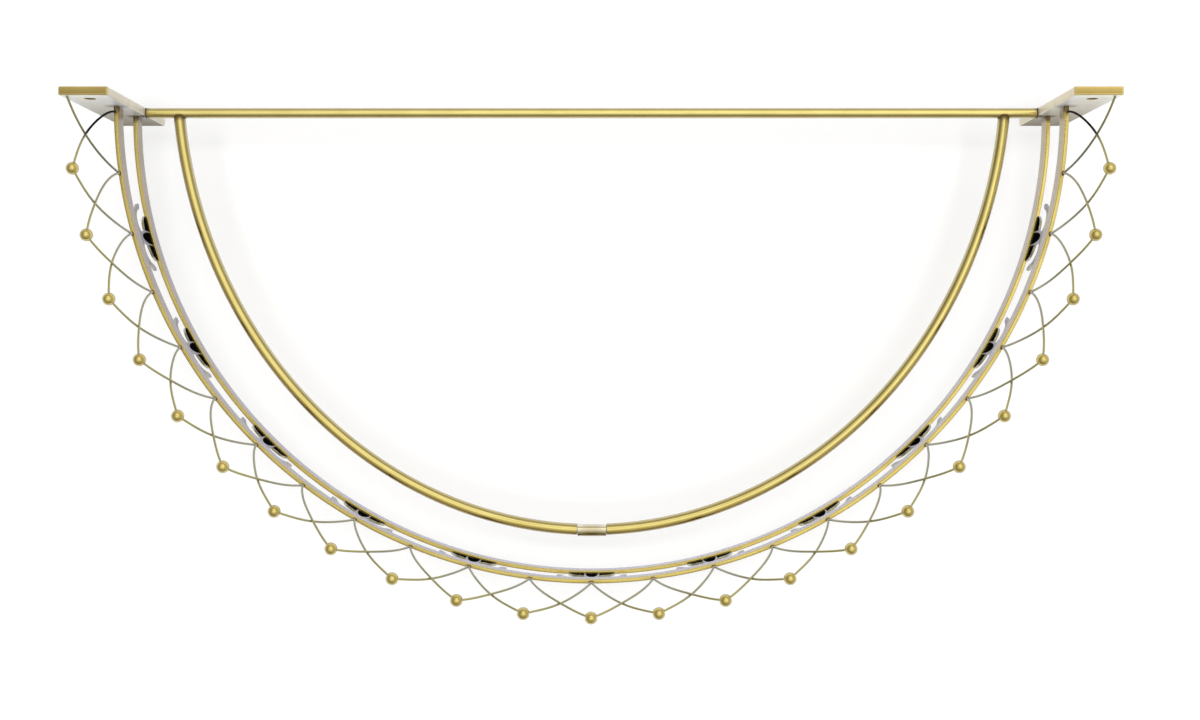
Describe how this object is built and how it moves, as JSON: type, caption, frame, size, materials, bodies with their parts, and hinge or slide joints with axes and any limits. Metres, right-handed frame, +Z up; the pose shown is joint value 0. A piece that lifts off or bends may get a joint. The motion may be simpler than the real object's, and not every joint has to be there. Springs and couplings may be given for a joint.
{
  "type": "bed crown canopy",
  "caption": "Half-round wall-hung bed crown in antique gold: flat bands with lily ornaments, a wire gallery with ball beads, and a bowed curtain rod inside.",
  "frame": {"origin": "on the wall plane, midway between the wall plates, level with their lower ends", "axes": "+Y into the wall, -Y out over the bed, +X along the wall to the viewer's right when facing it, +Z up"},
  "size_m": [0.8, 0.4032, 0.1758],
  "materials": {
    "plate_gold": "satin antique gold, faintly brushed",
    "band_gold": "satin antique gold, faintly brushed along the band",
    "rod_gold": "satin antique gold",
    "polished_coupling": "polished pale gold",
    "stud_steel": "machined",
    "gallery_wire": "satin olive gold, darker by the wall plates",
    "bead_gold": "satin antique gold",
    "ornament_gold": "satin antique gold in front, blackened in the hollows behind"
  },
  "bodies": {
    "crown_frame": {"back_rod": "rod_gold", "bead_1": "bead_gold", "bead_10": "bead_gold", "bead_11": "bead_gold", "bead_12": "bead_gold", "bead_13": "bead_gold", "bead_14": "bead_gold", "bead_15": "bead_gold", "bead_16": "bead_gold", "bead_17": "bead_gold", "bead_18": "bead_gold", "bead_19": "bead_gold", "bead_2": "bead_gold", "bead_20": "bead_gold", "bead_21": "bead_gold", "bead_22": "bead_gold", "bead_23": "bead_gold", "bead_3": "bead_gold", "bead_4": "bead_gold", "bead_5": "bead_gold", "bead_6": "bead_gold", "bead_7": "bead_gold", "bead_8": "bead_gold", "bead_9": "bead_gold", "inner_scallop_wire_1": "gallery_wire", "inner_scallop_wire_2": "gallery_wire", "inner_scallop_wire_3": "gallery_wire", "inner_scallop_wire_4": "gallery_wire", "inner_scallop_wire_5": "gallery_wire", "inner_scallop_wire_6": "gallery_wire", "inner_scallop_wire_7": "gallery_wire", "left_coupling_stud": "stud_steel", "left_curtain_rod": "rod_gold", "left_wall_plate": "plate_gold", "lower_band": "band_gold", "ornament_1": "ornament_gold", "ornament_10": "ornament_gold", "ornament_11": "ornament_gold", "ornament_2": "ornament_gold", "ornament_3": "ornament_gold", "ornament_4": "ornament_gold", "ornament_5": "ornament_gold", "ornament_6": "ornament_gold", "ornament_7": "ornament_gold", "ornament_8": "ornament_gold", "ornament_9": "ornament_gold", "outer_scallop_wire_1": "gallery_wire", "outer_scallop_wire_2": "gallery_wire", "outer_scallop_wire_3": "gallery_wire", "outer_scallop_wire_4": "gallery_wire", "outer_scallop_wire_5": "gallery_wire", "outer_scallop_wire_6": "gallery_wire", "right_coupling_stud": "stud_steel", "right_curtain_rod": "rod_gold", "right_wall_plate": "plate_gold", "upper_band": "band_gold"},
    "coupling": {"rod_coupling": "polished_coupling"}
  },
  "joints": [
    {"name": "coupling_turn", "type": "hinge", "parent": "crown_frame", "child": "coupling", "pos_m": [0, -0.3441, 0.0584], "axis": [1, 0, 0], "continuous": true}
  ]
}
